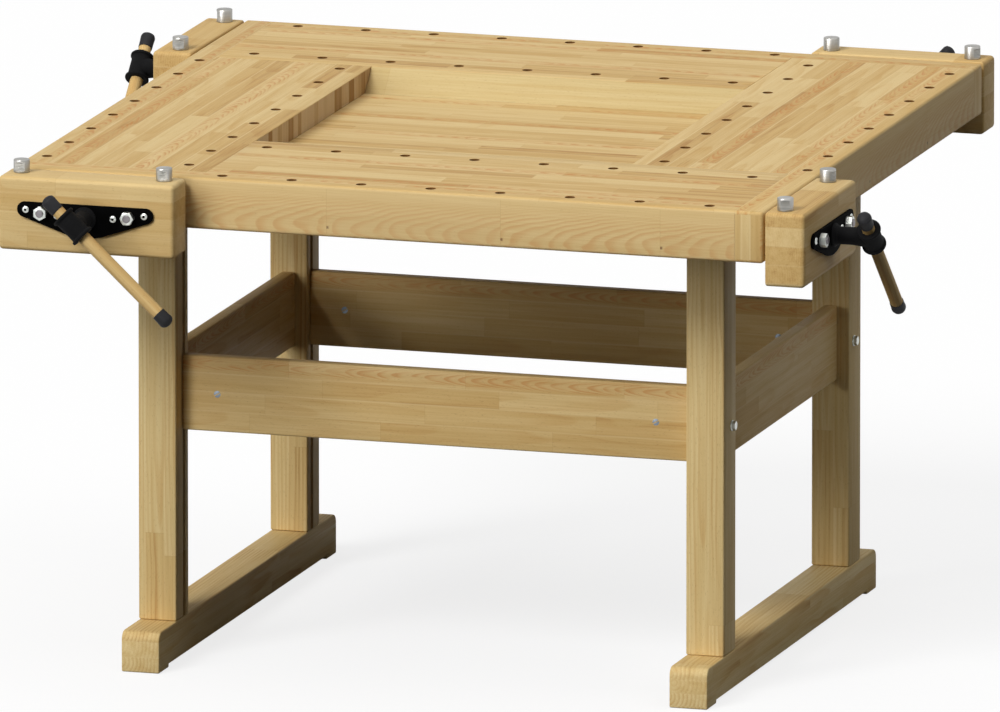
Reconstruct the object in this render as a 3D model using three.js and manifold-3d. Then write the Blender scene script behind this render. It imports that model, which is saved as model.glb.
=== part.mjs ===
// Square four-sided woodworking bench with a vise on each side.
// Millimetres, +Z up, origin on the floor under the middle of the bench top.
// The front of the bench faces -Y. Each side is the front side turned by quarter turns.

import * as THREE from 'three';
import { mergeVertices } from 'three/addons/utils/BufferGeometryUtils.js';
import Module from 'manifold-3d';

const wasm = await Module();
wasm.setup();

// Bench top
const topSize = 1200;
const topHeight = 814;
const apronThickness = 45;
const apronDepth = 80;
const apronEdgeRadius = 5;
const boardWidth = 252;
const boardThickness = 36;
const woodGap = 0.3; // glue line between neighbouring pieces

// Dog holes, in one row in each apron and one row in each board
const dogHoleDiameter = 16;
const dogHolePitch = 111.2;
const dogHoleEndDistance = 92.5; // first hole from the edge that the row starts at
const dogHoleMargin = 25; // last hole from the end of the board
const outerRowDistance = 26.3; // from the outer edge
const innerRowDistance = 255;

// Tool well in the middle of the top
const trayThickness = 12;
const trayOverlap = 20; // under each board
const rampRun = 37;
const rampLip = 2; // thickness of the ramp's upper edge

// Base
const legInset = 129; // outer leg face from the edge of the top
const legWidth = 61;
const legDepth = 64;
const legRodClearance = 7.3; // leg face from the nearest guide rod
const legGrooveWidth = 13;
const legGrooveDepth = 12;
const topTenonSize = 30;
const topTenonLength = 15;
const footTenonWidth = 30;
const footTenonDepth = 36;
const footTenonLength = 40;
const footOverhang = 88.5; // past the leg faces
const footHeight = 64;
const footEndRadius = 14;
const footPadLength = 51;
const footRelief = 5;
const railHeight = 118;
const railThickness = 22;
const railBottom = 361;
const longRailSetback = 30; // behind the leg's outer face
const railTenonThickness = 12;
const railTenonHeight = 80;
const railTenonLength = 24;

// Vise jaw
const jawLength = 282;
const jawHeight = 115;
const jawThickness = 63;
const jawEdgeRadius = 7;
const jawFaceCorner = 1; // corner radius left on the flat of the rounded faces
const frontJawGap = 10; // front and back vises, jaw to apron as shown
const sideJawGap = 3; // right and left vises
const jawDogSetback = 25; // dog axis from the jaw's inner face

// Screw plate on the jaw's outer face
const plateWidth = 218;
const plateDepth = 52;
const plateThickness = 5;
const plateTopDrop = 37; // upper edge below the bench top
const plateLobeRadius = 12;
const plateApexRadius = 105;

// Guide rods
const rodDiameter = 20;
const rodSpacing = 139.4;
const rodDrop = 52.5; // axis below the bench top
const rodRunningGap = 0.4;
const studDiameter = 12;
const studEnd = 2; // past the nut
const nutAcrossFlats = 19;
const nutThickness = 10;
const tieThickness = 12;
const tieHeight = 20;
const tieEnd = 2; // past each rod
const tailClearance = 6; // tie to leg with the jaw closed

// Spindle with its hub and fixed nut
const spindleDiameter = 22;
const spindleDrop = 58; // axis below the bench top
const spindleRunningGap = 0.3;
const spindleHoleGap = 1.5;
const spindleTailGap = 2; // spindle end to tie
const retainerDiameter = 32;
const retainerThickness = 6;
const retainerRecess = 8;
const collarDiameter = 40;
const collarThickness = 6;
const bossDiameter = 28;
const hubReach = 60; // handle bar axis from the plate
const hubDiameter = 32;
const hubLength = 46;
const hubRimDiameter = 39;
const hubRimThickness = 5;
const nutFlangeWidth = 90;
const nutFlangeHeight = 40;
const nutFlangeThickness = 8;
const nutBodyDiameter = 38;
const nutBodyLength = 40;

// Handle bar
const barDiameter = 20;
const barTilt = 43; // degrees below level
const barUpperReach = 61; // hub centre to the end of the upper cap
const barLowerReach = 212;
const barSlidingGap = 0.3;
const backBarLift = 11; // bar pushed up through its hub, as shown
const leftBarLift = 5;
const capDiameter = 23;
const upperCapLength = 28;
const lowerCapLength = 25;
const capEndThickness = 4;

// Bench dogs
const dogShankDiameter = 15.4;
const dogShankLength = 90;
const dogHeadDiameter = 25;
const dogHeadHeight = 20;
const dogFlatDepth = 2.5;
const dogFlatHeight = 14;

// Facets of round shapes
const roundSides = 12;
const dogHeadSides = 20;
const hexSides = 6;
const edgeSteps = 2;
const plateSteps = 6;

const overrun = 1; // cutters and overlapping shapes run this far past the face they meet

// Places worked out from the sizes above
const topEdge = topSize / 2;
const apronInner = topEdge - apronThickness;
const wellEdge = apronInner - boardWidth;
const boardBottom = topHeight - boardThickness;
const apronBottom = topHeight - apronDepth;
const jawCentre = -topEdge + jawLength / 2;
const legSetback = jawLength / 2 + rodSpacing / 2 + rodDiameter / 2 + legRodClearance;
const legOuterX = topEdge - legInset;
const legOuterY = topEdge - legSetback;
const legCentreX = legOuterX - legWidth / 2;
const legCentreY = legOuterY - legDepth / 2;
const railCentreY = legOuterY - longRailSetback - railThickness / 2;
const railMiddle = railBottom + railHeight / 2;
const rodZ = topHeight - rodDrop;
const spindleZ = topHeight - spindleDrop;
const viseReach = legSetback - tailClearance; // jaw's inner face to the back of the tie
const outerRowY = -topEdge + outerRowDistance;
const innerRowY = -topEdge + innerRowDistance;
const dogStations = [outerRowY, innerRowY]; // the jaw's dogs line up with the next side's rows
const rodStations = [jawCentre - rodSpacing / 2, jawCentre + rodSpacing / 2];

// Dogs turn freely in their holes, so each flat faces its own way, in degrees from outward.
const sides = [
  { name: 'front', jawGap: frontJawGap, barLift: 0, dogTurns: [0, 0] },
  { name: 'right', jawGap: sideJawGap, barLift: 0, dogTurns: [-75, -23] },
  { name: 'back', jawGap: frontJawGap, barLift: backBarLift, dogTurns: [-113, 0] },
  { name: 'left', jawGap: sideJawGap, barLift: leftBarLift, dogTurns: [0, 96] },
];

const beech = new THREE.MeshStandardMaterial({ color: 0xd2b37c, roughness: 0.55, metalness: 0 });
const barWood = new THREE.MeshStandardMaterial({ color: 0xc9a66b, roughness: 0.5, metalness: 0 });
const blackSteel = new THREE.MeshStandardMaterial({ color: 0x101012, roughness: 0.5, metalness: 0.3 });
const zincSteel = new THREE.MeshStandardMaterial({ color: 0xc4c8c8, roughness: 0.35, metalness: 1 });
const castIron = new THREE.MeshStandardMaterial({ color: 0x2a2a2b, roughness: 0.6, metalness: 0.2 });
const rubber = new THREE.MeshStandardMaterial({ color: 0x333335, roughness: 0.7, metalness: 0 });

const bench = new THREE.Group();

// Shape helpers

function solidOf(geometry) {
  geometry.deleteAttribute('normal');
  geometry.deleteAttribute('uv');
  const welded = mergeVertices(geometry);
  const vertProperties = new Float32Array(welded.attributes.position.array);
  const triVerts = new Uint32Array(welded.index.array);
  return new wasm.Manifold(new wasm.Mesh({ numProp: 3, vertProperties, triVerts }));
}

function joined(first, ...others) {
  return others.reduce((whole, piece) => whole.add(piece), first);
}

function cut(body, ...tools) {
  return tools.reduce((left, tool) => left.subtract(tool), body);
}

// Box between two limits on each axis, given in any order.
function block([x0, x1], [y0, y1], [z0, z1]) {
  const geometry = new THREE.BoxGeometry(Math.abs(x1 - x0), Math.abs(y1 - y0), Math.abs(z1 - z0));
  geometry.translate((x0 + x1) / 2, (y0 + y1) / 2, (z0 + z1) / 2);
  return solidOf(geometry);
}

// Cylinder from one point to another.
function round(diameter, from, to, steps = roundSides) {
  const start = new THREE.Vector3(...from);
  const run = new THREE.Vector3(...to).sub(start);
  const geometry = new THREE.CylinderGeometry(diameter / 2, diameter / 2, run.length(), steps);
  const turn = new THREE.Quaternion().setFromUnitVectors(
    new THREE.Vector3(0, 1, 0), run.clone().normalize());
  geometry.applyQuaternion(turn);
  geometry.translate(...start.addScaledVector(run, 0.5).toArray());
  return solidOf(geometry);
}

// Hole whose flats clear a round piece of the given diameter.
function bore(diameter, gap, from, to, steps = roundSides) {
  return round((diameter + 2 * gap) / Math.cos(Math.PI / steps), from, to, steps);
}

// Outline drawn in two axes and carried along the third.
function carried(outline, length, along, settings) {
  const options = { depth: length, curveSegments: edgeSteps, bevelEnabled: false, ...settings };
  const geometry = new THREE.ExtrudeGeometry(outline, options);
  const frames = {
    x: [[0, 1, 0], [0, 0, 1], [1, 0, 0]],
    y: [[-1, 0, 0], [0, 0, 1], [0, 1, 0]],
    z: [[1, 0, 0], [0, 1, 0], [0, 0, 1]],
  };
  const [right, up, forward] = frames[along].map((axis) => new THREE.Vector3(...axis));
  geometry.applyMatrix4(new THREE.Matrix4().makeBasis(right, up, forward));
  return geometry;
}

function roundedRectangle(width, height, radius) {
  const outline = new THREE.Shape();
  const [x, y] = [width / 2, height / 2];
  outline.absarc(x - radius, y - radius, radius, 0, Math.PI / 2);
  outline.absarc(-x + radius, y - radius, radius, Math.PI / 2, Math.PI);
  outline.absarc(-x + radius, -y + radius, radius, Math.PI, 1.5 * Math.PI);
  outline.absarc(x - radius, -y + radius, radius, 1.5 * Math.PI, 2 * Math.PI);
  outline.closePath();
  return outline;
}

function addPart(parent, name, solid, material) {
  const { vertProperties, triVerts } = solid.getMesh();
  const geometry = new THREE.BufferGeometry();
  geometry.setAttribute('position', new THREE.BufferAttribute(vertProperties, 3));
  geometry.setIndex(new THREE.BufferAttribute(triVerts, 1));
  geometry.computeVertexNormals();
  const mesh = new THREE.Mesh(geometry, material);
  mesh.name = name;
  parent.add(mesh);
  return mesh;
}

// Bench top, drawn for the front side

// X places of the dog holes in a row, from the right-hand end.
function dogHolePlaces() {
  const first = topEdge - dogHoleEndDistance;
  const count = Math.floor((first + wellEdge - dogHoleMargin) / dogHolePitch) + 1;
  return Array.from({ length: count }, (_, index) => first - index * dogHolePitch);
}

function dogHoleRow(y, bottom) {
  return dogHolePlaces().map((x) => (
    bore(dogHoleDiameter, 0, [x, y, bottom - overrun], [x, y, topHeight + overrun])));
}

// Pair of holes on the guide rods' axes.
function rodHoles(diameter, from, to) {
  return rodStations.map((x) => bore(diameter, rodRunningGap, [x, from, rodZ], [x, to, rodZ]));
}

function spindleHole(diameter, gap, from, to) {
  return bore(diameter, gap, [jawCentre, from, spindleZ], [jawCentre, to, spindleZ]);
}

// Holes in the apron for the two guide rods and the spindle.
function viseHoles() {
  const [from, to] = [-topEdge - overrun, -apronInner + overrun];
  const spindleWay = spindleHole(spindleDiameter, spindleHoleGap, from, to);
  return [...rodHoles(rodDiameter, from, to), spindleWay];
}

function apron() {
  const outline = new THREE.Shape();
  const radius = apronEdgeRadius;
  outline.moveTo(-apronInner, apronBottom);
  outline.lineTo(-apronInner, topHeight);
  outline.lineTo(-topEdge + radius, topHeight);
  outline.absarc(-topEdge + radius, topHeight - radius, radius, Math.PI / 2, Math.PI);
  outline.absarc(-topEdge + radius, apronBottom + radius, radius, Math.PI, 1.5 * Math.PI);
  outline.closePath();
  const strip = carried(outline, topEdge + apronInner - woodGap, 'x');
  strip.translate(-topEdge, 0, 0);
  return cut(solidOf(strip), ...dogHoleRow(outerRowY, apronBottom), ...viseHoles());
}

// Legs stand closer to the middle across X than along Y, so the sockets differ side by side.
function board(isOddSide) {
  const legPlace = isOddSide ? [legCentreY, -legCentreX] : [legCentreX, -legCentreY];
  const plank = block(
    [-wellEdge + woodGap, apronInner - woodGap],
    [-apronInner + woodGap, -wellEdge],
    [boardBottom, topHeight]);
  const half = topTenonSize / 2 + woodGap;
  const socket = block(
    [legPlace[0] - half, legPlace[0] + half],
    [legPlace[1] - half, legPlace[1] + half],
    [boardBottom - overrun, boardBottom + topTenonLength + woodGap]);
  return cut(plank, socket, ...dogHoleRow(innerRowY, boardBottom));
}

// Floor panel under the boards, with a ramp along its front and back.
function wellTray() {
  const floorTop = boardBottom - woodGap;
  const reach = wellEdge + trayOverlap;
  const floor = block([-reach, reach], [-reach, reach], [floorTop - trayThickness, floorTop]);
  const clear = wellEdge - woodGap;
  const ramps = [-1, 1].map((end) => {
    const outline = new THREE.Shape();
    outline.moveTo(end * clear, floorTop - overrun);
    outline.lineTo(end * clear, topHeight - woodGap);
    outline.lineTo(end * (clear - rampLip), topHeight - woodGap);
    outline.lineTo(end * (clear - rampRun), floorTop + rampLip);
    outline.lineTo(end * (clear - rampRun), floorTop - overrun);
    outline.closePath();
    const ramp = carried(outline, 2 * clear, 'x');
    ramp.translate(-clear, 0, 0);
    return solidOf(ramp);
  });
  return joined(floor, ...ramps);
}

// Base

// acrossX and alongY are -1 or 1 and choose the corner.
function leg(acrossX, alongY) {
  const top = boardBottom - woodGap;
  const [x, y] = [acrossX * legCentreX, alongY * legCentreY];
  const inner = acrossX * (legOuterX - legWidth);
  const post = block(
    [acrossX * legOuterX, inner],
    [alongY * legOuterY, alongY * (legOuterY - legDepth)],
    [footHeight + woodGap, top]);
  const topTenon = block(
    [x - topTenonSize / 2, x + topTenonSize / 2],
    [y - topTenonSize / 2, y + topTenonSize / 2],
    [top - overrun, boardBottom + topTenonLength]);
  const footTenon = block(
    [x - footTenonWidth / 2, x + footTenonWidth / 2],
    [y - footTenonDepth / 2, y + footTenonDepth / 2],
    [footHeight - footTenonLength, footHeight + woodGap + overrun]);
  const groove = block(
    [inner - acrossX * overrun, inner + acrossX * legGrooveDepth],
    [alongY * railCentreY - legGrooveWidth / 2, alongY * railCentreY + legGrooveWidth / 2],
    [footHeight, topHeight]);
  const innerY = alongY * (legOuterY - legDepth);
  const mortise = block(
    [x - railTenonThickness / 2 - woodGap, x + railTenonThickness / 2 + woodGap],
    [innerY - alongY * overrun, innerY + alongY * (railTenonLength + woodGap)],
    [railMiddle - railTenonHeight / 2 - woodGap, railMiddle + railTenonHeight / 2 + woodGap]);
  return cut(joined(cut(post, groove), topTenon, footTenon), mortise);
}

function foot(acrossX) {
  const end = legOuterY + footOverhang;
  const radius = footEndRadius;
  const outline = new THREE.Shape();
  outline.moveTo(-end, 0);
  outline.lineTo(-end + footPadLength, 0);
  outline.lineTo(-end + footPadLength, footRelief);
  outline.lineTo(end - footPadLength, footRelief);
  outline.lineTo(end - footPadLength, 0);
  outline.lineTo(end, 0);
  outline.absarc(end - radius, footHeight - radius, radius, 0, Math.PI / 2);
  outline.absarc(-end + radius, footHeight - radius, radius, Math.PI / 2, Math.PI);
  outline.closePath();
  const beam = carried(outline, legWidth, 'x');
  beam.translate(acrossX * legCentreX - legWidth / 2, 0, 0);
  const mortises = [-1, 1].map((alongY) => {
    const [x, y] = [acrossX * legCentreX, alongY * legCentreY];
    const [halfWidth, halfDepth] = [footTenonWidth / 2 + woodGap, footTenonDepth / 2 + woodGap];
    return block([x - halfWidth, x + halfWidth], [y - halfDepth, y + halfDepth],
      [footHeight - footTenonLength - woodGap, footHeight + overrun]);
  });
  return cut(solidOf(beam), ...mortises);
}

// Rail from the front leg to the rear leg, with a tenon in each.
function endRail(acrossX) {
  const x = acrossX * legCentreX;
  const reach = legOuterY - legDepth - woodGap;
  const rail = block([x - railThickness / 2, x + railThickness / 2], [-reach, reach],
    [railBottom, railBottom + railHeight]);
  const tenonReach = reach + railTenonLength;
  const tenons = block([x - railTenonThickness / 2, x + railTenonThickness / 2],
    [-tenonReach, tenonReach],
    [railMiddle - railTenonHeight / 2, railMiddle + railTenonHeight / 2]);
  return joined(rail, tenons);
}

// Rail from the left leg to the right leg, with a tongue in each leg groove.
function longRail(alongY) {
  const y = alongY * railCentreY;
  const reach = legOuterX - legWidth - woodGap;
  const height = [railBottom, railBottom + railHeight];
  const rail = block([-reach, reach], [y - railThickness / 2, y + railThickness / 2], height);
  const tongueReach = reach + legGrooveDepth;
  const halfTongue = legGrooveWidth / 2 - woodGap;
  const tongues = block([-tongueReach, tongueReach], [y - halfTongue, y + halfTongue], height);
  return joined(rail, tongues);
}

// Vise, drawn for the front side. jawInner is the Y place of the jaw's inner face.

function jaw(jawInner) {
  const inset = jawEdgeRadius - jawFaceCorner;
  const outline = roundedRectangle(jawLength, jawHeight, jawEdgeRadius);
  const bevel = { bevelEnabled: true, bevelSegments: edgeSteps, bevelSize: inset, bevelOffset: -inset };
  const body = carried(outline, jawThickness - 2 * inset, 'y', { ...bevel, bevelThickness: inset });
  body.translate(jawCentre, jawInner - jawThickness + inset, topHeight - jawHeight / 2);
  const [from, to] = [jawInner - jawThickness - overrun, jawInner + overrun];
  const spindleWay = spindleHole(spindleDiameter, spindleRunningGap, from, to);
  const recess = spindleHole(retainerDiameter, spindleHoleGap, jawInner - retainerRecess, to);
  const [bottom, y] = [topHeight - jawHeight, jawInner - jawDogSetback];
  const dogHoles = dogStations.map((x) => (
    bore(dogHoleDiameter, 0, [x, y, bottom - overrun], [x, y, topHeight + overrun])));
  return cut(solidOf(body), ...rodHoles(studDiameter, from, to), spindleWay, recess, ...dogHoles);
}

// Kite-shaped outline: level upper edge, two round ends and a round lower corner.
function plateOutline() {
  const lobeX = plateWidth / 2 - plateLobeRadius;
  const drop = plateDepth - plateApexRadius - plateLobeRadius;
  const span = Math.hypot(lobeX, drop);
  const lean = Math.atan2(drop, lobeX) - Math.acos((plateApexRadius - plateLobeRadius) / span);
  const outline = new THREE.Shape();
  const lobeY = -plateLobeRadius;
  outline.absarc(-lobeX, lobeY, plateLobeRadius, Math.PI - lean, Math.PI / 2, true);
  outline.absarc(lobeX, lobeY, plateLobeRadius, Math.PI / 2, lean, true);
  outline.absarc(0, -plateDepth + plateApexRadius, plateApexRadius, lean, -Math.PI - lean, true);
  outline.closePath();
  return outline;
}

function screwPlate(jawOuter) {
  const plate = carried(plateOutline(), plateThickness - woodGap, 'y', { curveSegments: plateSteps });
  plate.translate(jawCentre, jawOuter - plateThickness, topHeight - plateTopDrop);
  const [from, to] = [jawOuter - plateThickness - overrun, jawOuter + overrun];
  const spindleWay = spindleHole(spindleDiameter, spindleRunningGap, from, to);
  return cut(solidOf(plate), ...rodHoles(studDiameter, from, to), spindleWay);
}

// Two rods with a hex nut on each, tied together at their inner ends.
function guideRods(jawInner, plateFace) {
  const tieBack = jawInner + viseReach;
  const halfTie = rodSpacing / 2 + rodDiameter / 2 + tieEnd;
  const tie = block([jawCentre - halfTie, jawCentre + halfTie], [tieBack - tieThickness, tieBack],
    [rodZ - tieHeight / 2, rodZ + tieHeight / 2]);
  const nutFace = plateFace - woodGap - nutThickness;
  const nutDiameter = nutAcrossFlats / Math.cos(Math.PI / hexSides);
  const rods = rodStations.map((x) => {
    const rod = round(rodDiameter, [x, jawInner + woodGap, rodZ], [x, tieBack - overrun, rodZ]);
    const stud = round(studDiameter, [x, nutFace - studEnd, rodZ], [x, jawInner + overrun, rodZ]);
    const nut = round(nutDiameter, [x, nutFace, rodZ], [x, plateFace - woodGap, rodZ], hexSides);
    return joined(rod, stud, nut);
  });
  return joined(tie, ...rods);
}

function barDirection() {
  const tilt = THREE.MathUtils.degToRad(barTilt);
  return new THREE.Vector3(Math.cos(tilt), 0, -Math.sin(tilt));
}

// Point on the handle bar's axis, at a distance from the hub centre towards its lower end.
function barPoint(plateFace, distance) {
  const hubCentre = new THREE.Vector3(jawCentre, plateFace - hubReach, spindleZ);
  return hubCentre.addScaledVector(barDirection(), distance).toArray();
}

function spindle(jawInner, plateFace) {
  const at = (y) => [jawCentre, y, spindleZ];
  const tail = jawInner + viseReach - tieThickness - spindleTailGap;
  const retainerFace = jawInner - retainerRecess + woodGap;
  const face = plateFace - woodGap;
  const screw = round(spindleDiameter, at(face - overrun), at(tail));
  const retainer = round(retainerDiameter, at(retainerFace), at(retainerFace + retainerThickness));
  const collar = round(collarDiameter, at(face - collarThickness), at(face));
  const boss = round(bossDiameter, at(plateFace - hubReach), at(face));
  const along = (distance) => barPoint(plateFace, distance);
  const half = hubLength / 2;
  const hub = round(hubDiameter, along(-half), along(half));
  const rims = [-1, 1].map((end) => (
    round(hubRimDiameter, along(end * (half - hubRimThickness)), along(end * half))));
  const eye = bore(barDiameter, barSlidingGap, along(-half - overrun), along(half + overrun));
  return cut(joined(screw, retainer, collar, boss, hub, ...rims), eye);
}

function spindleNut() {
  const face = -apronInner + woodGap;
  const flange = block(
    [jawCentre - nutFlangeWidth / 2, jawCentre + nutFlangeWidth / 2],
    [face, face + nutFlangeThickness],
    [spindleZ - nutFlangeHeight / 2, spindleZ + nutFlangeHeight / 2]);
  const body = round(nutBodyDiameter, [jawCentre, face, spindleZ],
    [jawCentre, face + nutBodyLength, spindleZ]);
  const thread = spindleHole(spindleDiameter, spindleRunningGap,
    face - overrun, face + nutBodyLength + overrun);
  return cut(joined(flange, body), thread);
}

// lift is how far the bar is pushed up through its hub.
function handleBar(plateFace, lift) {
  const upper = -barUpperReach - lift + capEndThickness + woodGap;
  const lower = barLowerReach - lift - capEndThickness - woodGap;
  return round(barDiameter, barPoint(plateFace, upper), barPoint(plateFace, lower));
}

// Cup over one end of the bar. end is -1 for the upper end and 1 for the lower end.
function barCap(plateFace, end, lift) {
  const [reach, length] = end < 0 ? [barUpperReach, upperCapLength] : [barLowerReach, lowerCapLength];
  const along = (distance) => barPoint(plateFace, end * distance - lift);
  const cup = round(capDiameter, along(reach - length), along(reach));
  const socket = bore(barDiameter, woodGap,
    along(reach - length - overrun), along(reach - capEndThickness));
  return cut(cup, socket);
}

// Round dog on the Z axis, with a flat on the outward side of its head.
function benchDog() {
  const seat = topHeight + woodGap;
  const head = round(dogHeadDiameter, [0, 0, seat], [0, 0, seat + dogHeadHeight], dogHeadSides);
  const shank = round(dogShankDiameter, [0, 0, topHeight - dogShankLength], [0, 0, seat + overrun]);
  const middle = seat + dogHeadHeight / 2;
  const flat = block(
    [-dogHeadDiameter, dogHeadDiameter],
    [-dogHeadDiameter, -dogHeadDiameter / 2 + dogFlatDepth],
    [middle - dogFlatHeight / 2, middle + dogFlatHeight / 2]);
  return cut(joined(head, shank), flat);
}

function addVise(parent, { name, jawGap, barLift, dogTurns }) {
  const jawInner = -topEdge - jawGap;
  const jawOuter = jawInner - jawThickness;
  const plateFace = jawOuter - plateThickness;
  addPart(parent, `jaw_${name}`, jaw(jawInner), beech);
  addPart(parent, `screw_plate_${name}`, screwPlate(jawOuter), blackSteel);
  addPart(parent, `guide_rods_${name}`, guideRods(jawInner, plateFace), zincSteel);
  addPart(parent, `spindle_${name}`, spindle(jawInner, plateFace), castIron);
  addPart(parent, `spindle_nut_${name}`, spindleNut(), castIron);
  addPart(parent, `handle_bar_${name}`, handleBar(plateFace, barLift), barWood);
  addPart(parent, `upper_cap_${name}`, barCap(plateFace, -1, barLift), rubber);
  addPart(parent, `lower_cap_${name}`, barCap(plateFace, 1, barLift), rubber);
  ['outer', 'inner'].forEach((place, index) => {
    const dog = addPart(parent, `${place}_dog_${name}`, benchDog(), zincSteel);
    dog.position.set(dogStations[index], jawInner - jawDogSetback, 0);
    dog.rotation.z = THREE.MathUtils.degToRad(dogTurns[index]);
  });
}

sides.forEach((side, index) => {
  const quarter = new THREE.Group();
  quarter.rotation.z = index * Math.PI / 2;
  bench.add(quarter);
  addPart(quarter, `apron_${side.name}`, apron(), beech);
  addPart(quarter, `board_${side.name}`, board(index % 2 === 1), beech);
  addVise(quarter, side);
});
addPart(bench, 'well_tray', wellTray(), beech);

[['left', -1], ['right', 1]].forEach(([hand, acrossX]) => {
  addPart(bench, `foot_${hand}`, foot(acrossX), beech);
  addPart(bench, `end_rail_${hand}`, endRail(acrossX), beech);
  addPart(bench, `leg_front_${hand}`, leg(acrossX, -1), beech);
  addPart(bench, `leg_rear_${hand}`, leg(acrossX, 1), beech);
});
addPart(bench, 'long_rail_front', longRail(-1), beech);
addPart(bench, 'long_rail_rear', longRail(1), beech);

export default bench;
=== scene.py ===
# Square woodworking bench for four people, in laminated beech, with a vise on each side.
# Metres, +Z up. The front side is modelled and copied to the others by quarter turns.
import math

import bmesh
import bpy
from mathutils import Matrix, Vector


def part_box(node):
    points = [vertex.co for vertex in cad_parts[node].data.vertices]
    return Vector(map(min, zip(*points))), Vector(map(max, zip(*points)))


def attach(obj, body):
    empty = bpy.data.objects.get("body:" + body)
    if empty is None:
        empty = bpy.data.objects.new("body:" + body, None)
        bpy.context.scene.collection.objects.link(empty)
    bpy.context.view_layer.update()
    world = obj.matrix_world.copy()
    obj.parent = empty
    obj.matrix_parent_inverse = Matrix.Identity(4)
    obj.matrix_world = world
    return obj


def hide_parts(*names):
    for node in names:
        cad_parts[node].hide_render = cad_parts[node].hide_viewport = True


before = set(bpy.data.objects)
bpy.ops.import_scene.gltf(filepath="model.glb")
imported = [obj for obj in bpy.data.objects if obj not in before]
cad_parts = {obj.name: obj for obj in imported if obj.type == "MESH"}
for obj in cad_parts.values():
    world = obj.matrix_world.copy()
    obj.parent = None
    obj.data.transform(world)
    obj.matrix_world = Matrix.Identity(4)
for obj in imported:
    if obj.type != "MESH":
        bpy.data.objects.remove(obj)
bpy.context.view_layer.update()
sideNames = ["front", "right", "back", "left"]
handSigns = (("left", -1), ("right", 1))
nearly = 1e-5             # places closer than this are taken as one
mergeDistance = 1e-6      # points closer than this are merged
fitGap = 0.0003           # left between pieces that meet
overrun = 0.01            # how far a cutter reaches past what it cuts
facing = 0.9              # a face looks along a way when its normal has this share of it
smoothAngle = 32          # degrees between faces that are shaded as one
print("frame loaded,", len(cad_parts), "nodes")


# Modelling helpers

def same(first, second):
    return abs(first - second) < nearly


def clearSelection():
    bpy.ops.object.select_all(action="DESELECT")


def makeActive(piece):
    clearSelection()
    piece.select_set(True)
    bpy.context.view_layer.objects.active = piece


def applyPlace(piece):
    makeActive(piece)
    bpy.ops.object.transform_apply(location=True, rotation=True, scale=True)


def setMode(mode):
    bpy.ops.object.mode_set(mode=mode)


def addBox(name, low, high):
    clearSelection()
    low, high = Vector(low), Vector(high)
    bpy.ops.mesh.primitive_cube_add(size=1, location=(low + high) / 2)
    box = bpy.context.object
    box.name = name
    box.scale = high - low
    applyPlace(box)
    return box


# Round piece on the Z axis, from (radius, height) rings, each extruded from the last.
def addTurned(name, rings, facets=40):
    clearSelection()
    (radius, height), *others = rings
    bpy.ops.mesh.primitive_circle_add(
        vertices=facets, radius=radius, fill_type="NGON", location=(0, 0, height))
    turned = bpy.context.object
    turned.name = name
    applyPlace(turned)
    editAll()
    for nextRadius, nextHeight in others:
        rise = {"value": (0, 0, nextHeight - height)}
        bpy.ops.mesh.extrude_region_move(TRANSFORM_OT_translate=rise)
        spread = nextRadius / radius
        bpy.ops.transform.resize(value=(spread, spread, 1), center_override=(0, 0, nextHeight))
        radius, height = nextRadius, nextHeight
    closeShape()
    return turned


# Plain rod on the Z axis.
def addRod(name, radius, low, high, facets=40):
    return addTurned(name, [(radius, low), (radius, high)], facets)


# Enters edit mode with all parts selected.
def editAll(kind="EDGE"):
    setMode("EDIT")
    bpy.ops.mesh.select_mode(type=kind)
    bpy.ops.mesh.select_all(action="SELECT")


# Leaves edit mode with doubles merged and faces pointing out.
def closeShape():
    bpy.ops.mesh.select_all(action="SELECT")
    bpy.ops.mesh.remove_doubles(threshold=mergeDistance)
    bpy.ops.mesh.normals_make_consistent(inside=False)
    setMode("OBJECT")


# Selects in edit mode the parts whose middle point passes the test.
def pickParts(piece, kind, test):
    makeActive(piece)
    setMode("EDIT")
    bpy.ops.mesh.select_mode(type=kind)
    bpy.ops.mesh.select_all(action="DESELECT")
    mesh = bmesh.from_edit_mesh(piece.data)
    parts = {"VERT": mesh.verts, "EDGE": mesh.edges}[kind]
    for part in parts:
        points = [part.co] if kind == "VERT" else [v.co for v in part.verts]
        if test(sum(points, Vector()) / len(points)):
            part.select_set(True)
    bmesh.update_edit_mesh(piece.data)


def bevelEdges(piece, width, segments, test):
    pickParts(piece, "EDGE", test)
    bpy.ops.mesh.bevel(offset=width, segments=segments, affect="EDGES")
    setMode("OBJECT")


def applyModifier(piece, kind, **settings):
    makeActive(piece)
    modifier = piece.modifiers.new(kind.lower(), kind)
    for key, value in settings.items():
        setattr(modifier, key, value)
    bpy.ops.object.modifier_apply(modifier=modifier.name)


def softenEdges(piece, width, segments=2, sharpestAngle=30):
    angle = math.radians(sharpestAngle)
    applyModifier(piece, "BEVEL", width=width, segments=segments, limit_method="ANGLE", angle_limit=angle)


def combine(piece, other, operation):
    applyModifier(piece, "BOOLEAN", object=other, operation=operation, solver="EXACT")
    bpy.data.objects.remove(other)


def cutAway(piece, *cutters):
    for cutter in cutters:
        combine(piece, cutter, "DIFFERENCE")


def joinPieces(name, pieces):
    makeActive(pieces[0])
    for piece in pieces:
        piece.select_set(True)
    bpy.ops.object.join()
    pieces[0].name = name
    return pieces[0]


def copyPiece(piece, name, matrix):
    copied = piece.copy()
    copied.data = piece.data.copy()
    copied.name = name
    bpy.context.collection.objects.link(copied)
    copied.data.transform(matrix)
    return copied


# Matrix that lays a piece made on the Z axis along another direction, from a point.
def layAlong(direction, place, spin=0):
    turn = Vector((0, 0, 1)).rotation_difference(Vector(direction)).to_matrix().to_4x4()
    return Matrix.Translation(Vector(place)) @ turn @ Matrix.Rotation(spin, 4, "Z")


def laid(piece, direction, place, spin=0):
    piece.data.transform(layAlong(direction, place, spin))
    return piece


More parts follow.
